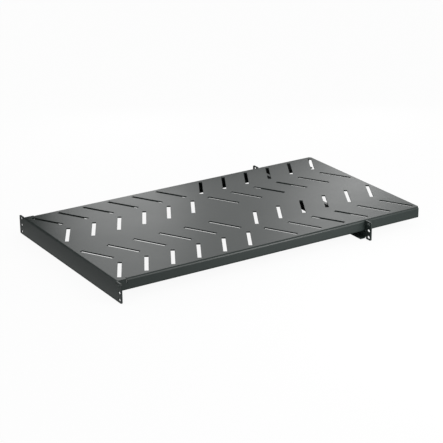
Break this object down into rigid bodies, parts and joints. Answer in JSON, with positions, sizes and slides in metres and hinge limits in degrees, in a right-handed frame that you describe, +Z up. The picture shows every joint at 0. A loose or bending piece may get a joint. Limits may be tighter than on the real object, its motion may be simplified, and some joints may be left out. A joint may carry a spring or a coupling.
{
  "type": "four post rack shelf",
  "caption": "Fixed rack shelf folded from sheet steel: a deck with slanting vent slots, lipped side flanges, a front panel with rack ears and a rear cross-member with rack ears.",
  "frame": {"origin": "middle of the shelf's width and depth, on the level of its lower edges", "axes": "+X across the shelf, +Y from the front panel to the open rear, +Z up from the lower edges to the deck"},
  "size_m": [0.4826, 0.8, 0.044],
  "materials": {
    "powder_coated_steel": "satin"
  },
  "bodies": {
    "root": {"shelf_tray": "powder_coated_steel", "rear_crossmember": "powder_coated_steel"}
  },
  "joints": []
}
